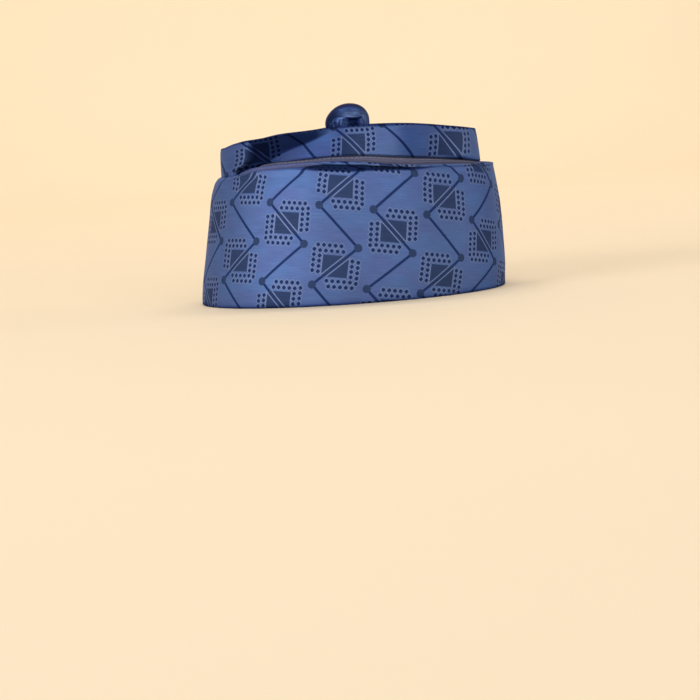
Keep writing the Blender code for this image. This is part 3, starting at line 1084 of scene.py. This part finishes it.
def make_knob(material):
    centre = Vector(KNOB_CENTRE)
    foot_z = DISH_HEIGHT + 2 * GAP
    outline = [(KNOB_FOOT_RADIUS * k / 4, foot_z - centre.z) for k in range(1, 5)]
    for k in range(KNOB_RINGS):
        a = radians(KNOB_LOWEST + (90 - KNOB_LOWEST) * k / KNOB_RINGS)
        outline.append((KNOB_HALF_WIDTH * cos(a), KNOB_HALF_HEIGHT * sin(a)))
    rings, shades = [], []
    for radius, up in outline:
        rings.append([])
        share = up / KNOB_HALF_HEIGHT
        upper = ease(share)
        gathered = 1 - step(share, *KNOB_GATHERS_END)
        over_top = KNOB_TOP_SHADE * step(share, *KNOB_TOP_STEP)
        for i in range(KNOB_TURNS):
            turn = 360 * i / KNOB_TURNS
            a = radians(turn)
            wander = noise.noise(Vector((KNOB_WANDER_ROUND * cos(a), KNOB_WANDER_ROUND * sin(a),
                                         up / KNOB_WANDER_UP)))
            fold = abs(sin(KNOB_GATHERS / 2 * a + KNOB_WANDER * wander))
            tuck = tuck_at(turn, centre.z + up)
            uneven = 1 - KNOB_GATHERS_UNEVEN * (1 - wander)
            strength = gathered * uneven * (1 - tuck)
            r = radius - KNOB_GATHER_DEPTH * strength * (1 - fold) - TUCK_DEPTH * tuck
            r = max(r + knob_roll(turn, centre.z + up), KNOB_LEAST_RADIUS)
            rings[-1].append(centre + Vector((r * cos(a) + KNOB_SHEAR * upper, r * sin(a),
                                              up + KNOB_RISE * upper)))
            # Painted shade: in the tuck, in the gathers' grooves, on the top and on the side away from the
            # light
            in_gather = KNOB_GATHER_SHADE * strength * (1 - fold) ** KNOB_GROOVE_POWER
            in_front = KNOB_FRONT_SHADE * rise_and_fall(turn, *KNOB_FRONT)
            shades.append(min(max(tuck, in_gather, over_top, in_front), 1.0))
    tips = [Vector((centre.x, centre.y, foot_z)),
            centre + Vector((KNOB_SHEAR, 0, KNOB_HALF_HEIGHT + KNOB_RISE))]

    def place(r, i, point):
        return 2 * pi * i / KNOB_TURNS * KNOB_HALF_WIDTH, r * KNOB_RING_CLOTH

    return capped_piece("knob_cloth", rings, tips, place, material, shade=shades + [0.0, 0.0])


# Stitches

def make_stitch_tree():
    """Geometry tree that sews one stitch after another along a path of edges."""
    tree, given, result = new_tree(
        "GeometryNodeTree", "row of stitches",
        {"Path": "Geometry", "Pitch": STITCH_PITCH, "Length": STITCH_LENGTH, "Thickness": STITCH_THICK,
         "Thread": "Material"}, {"Stitches": "Geometry"})
    half_length, half_thick = given["Length"] * 0.5, given["Thickness"] * 0.5
    path = add_node(tree, "GeometryNodeMeshToCurve", Mesh=given["Path"])
    places = add_node(tree, "GeometryNodeResampleCurve", Curve=path)
    places.mode = "LENGTH"
    fill(places, Length=given["Pitch"])
    ball = add_node(tree, "GeometryNodeMeshUVSphere", Segments=STITCH_SIDES, Rings=STITCH_RINGS, Radius=1.0)
    scale = add_node(tree, "ShaderNodeCombineXYZ", X=half_thick, Y=half_thick, Z=half_length)
    stitch = add_node(tree, "GeometryNodeTransform", Geometry=ball, Scale=scale)
    tangent = tree.nodes.new("GeometryNodeInputTangent")
    along = add_node(tree, "FunctionNodeAlignRotationToVector", Vector=tangent)
    along.axis = "Z"
    sewn = add_node(tree, "GeometryNodeInstanceOnPoints", Points=places, Instance=stitch, Rotation=along)
    real = add_node(tree, "GeometryNodeRealizeInstances", Geometry=sewn)
    smooth = add_node(tree, "GeometryNodeSetShadeSmooth", Geometry=real)
    thread = add_node(tree, "GeometryNodeSetMaterial", Geometry=smooth, Material=given["Thread"])
    fill(result, Stitches=thread)
    return tree


def sew(name, tree, thread, closed, points):
    """Row of stitches along points, as a plain mesh."""
    count = len(points)
    edges = [(i, (i + 1) % count) for i in range(count if closed else count - 1)]
    path = bpy.data.meshes.new(name + "_path")
    path.from_pydata(points, edges, [])
    guide = new_object(name + "_path", path)
    sewing = guide.modifiers.new("sewing", "NODES")
    sewing.node_group = tree
    for item in tree.interface.items_tree:
        if item.in_out == "INPUT" and item.name == "Thread":
            sewing[item.identifier] = thread
    mesh = bpy.data.meshes.new_from_object(guide.evaluated_get(bpy.context.evaluated_depsgraph_get()))
    guide.modifiers.remove(sewing)
    bpy.data.objects.remove(guide)
    bpy.data.meshes.remove(path)
    mesh.name = name
    return new_object(name, mesh)


# Stage

def make_stage():
    """Pale floor that sweeps up behind the cap."""
    profile = [(-FLOOR_REACH, 0.0), (SWEEP_START, 0.0)]
    for k in range(1, SWEEP_STEPS + 1):
        a = pi / 2 * k / SWEEP_STEPS
        profile.append((SWEEP_START + SWEEP_RADIUS * sin(a), SWEEP_RADIUS * (1 - cos(a))))
    profile.append((SWEEP_START + SWEEP_RADIUS, SWEEP_HEIGHT))
    points = [(x, y, z) for x in (-FLOOR_REACH, FLOOR_REACH) for y, z in profile]
    count = len(profile)
    faces = [(k, count + k, count + k + 1, k + 1) for k in range(count - 1)]
    paper = make_mottled("pale paper", PAPER_TONES, roughness=0.9, scale=3.0)
    floor = mesh_piece("floor", points, faces, None, paper)


def look_at(place, aim, roll=0.0):
    """World matrix of something at a place that looks down its -Z at an aim."""
    turn = (Vector(aim) - Vector(place)).to_track_quat("-Z", "Y").to_matrix().to_4x4()
    return Matrix.Translation(place) @ turn @ Matrix.Rotation(roll, 4, "Z")


def make_lights():
    for name, place, aim, size, power, colour in LIGHTS:
        lamp = bpy.data.lights.new(name, "AREA")
        lamp.shape = "RECTANGLE"
        lamp.size, lamp.size_y = size
        lamp.energy = power
        lamp.color = colour
        new_object(name, lamp).matrix_world = look_at(place, aim)
    world = bpy.data.worlds.new("studio")
    world.use_nodes = True
    fill(world.node_tree.nodes["Background"], Color=ROOM_COLOUR, Strength=ROOM_LIGHT)
    bpy.context.scene.world = world
    bpy.context.scene.view_settings.view_transform = "Standard"


def make_camera():
    """Camera that shows the rim's middle at its pixel of the photo, tilted as the photo is."""
    focal = PIXELS_PER_METRE * CAMERA_DISTANCE
    place = Vector((0, -cos(CAMERA_ELEVATION), sin(CAMERA_ELEVATION))) * CAMERA_DISTANCE
    level = look_at(place, (0, 0, 0), -CAMERA_ROLL)
    aside = (RIM_PIXEL[0] - PHOTO_SIDE / 2) / focal
    above = -(RIM_PIXEL[1] - PHOTO_SIDE / 2) / focal
    turned = level @ Matrix.Rotation(-above, 4, "X") @ Matrix.Rotation(aside, 4, "Y")
    lens = bpy.data.cameras.new("camera")
    lens.sensor_width = SENSOR / MM
    lens.lens = focal / PHOTO_SIDE * lens.sensor_width
    camera = new_object("camera", lens)
    camera.matrix_world = turned
    bpy.context.scene.camera = camera


figure_group = make_figure_group()
thread_group = make_thread_group()
damask = make_damask(figure_group, thread_group)
lining = make_plain_cloth("mauve lining", LINING_TONES, thread_group, roughness=0.75, depth=0.12 * MM)
satin = make_plain_cloth("plain satin", KNOB_TONES, thread_group, roughness=0.33, depth=0.03 * MM,
                         Metallic=0.75, Specular_IOR_Level=0.2, Specular_Tint=(0.15, 0.22, 0.5, 1.0))
mauve_thread, blue_thread = (make_mottled(name, tones, 0.5, TWIST_SCALE, THREAD_RELIEF) for name, tones in (
    ("mauve thread", MAUVE_THREAD_TONES), ("blue thread", BLUE_THREAD_TONES)))

cuff = make_cuff(damask)
band = make_band(lining)
crown_side = make_crown_side(damask)
crown_top = make_crown_top(damask)
knob = make_knob(satin)

for piece, node, slot in ((cuff, "cuff", "damask"), (band, "inner_band", "lining"),
                          (crown_side, "crown_side", "damask"), (crown_top, "crown_top", "damask"),
                          (knob, "knob", "plain_satin")):
    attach(piece, "root")
    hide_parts(node)

stitch_tree = make_stitch_tree()
start, end, drop = STRIP_STITCHES
strip_stitches = sew("strip_stitches", stitch_tree, mauve_thread, False,
                     [on_band(turn, crown_foot(turn) - drop, -STITCH_OUT / 2)
                      for turn in range(start, end + 1)])
top_stitches = sew("crown_top_stitches", stitch_tree, blue_thread, True,
                   [on_top_panel(turn, TOP_STITCHES_AT, -STITCH_OUT) for turn in range(0, 360, 2)])
hem_stitches = sew("band_hem_stitches", stitch_tree, mauve_thread, True,
                   [on_band(turn, HEM_STITCHES_AT, BAND_WALL + STITCH_OUT) for turn in range(0, 360, 2)])
for piece, slot in ((strip_stitches, "lining"), (top_stitches, "damask"), (hem_stitches, "lining")):
    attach(piece, "root")

make_stage()
make_lights()
make_camera()
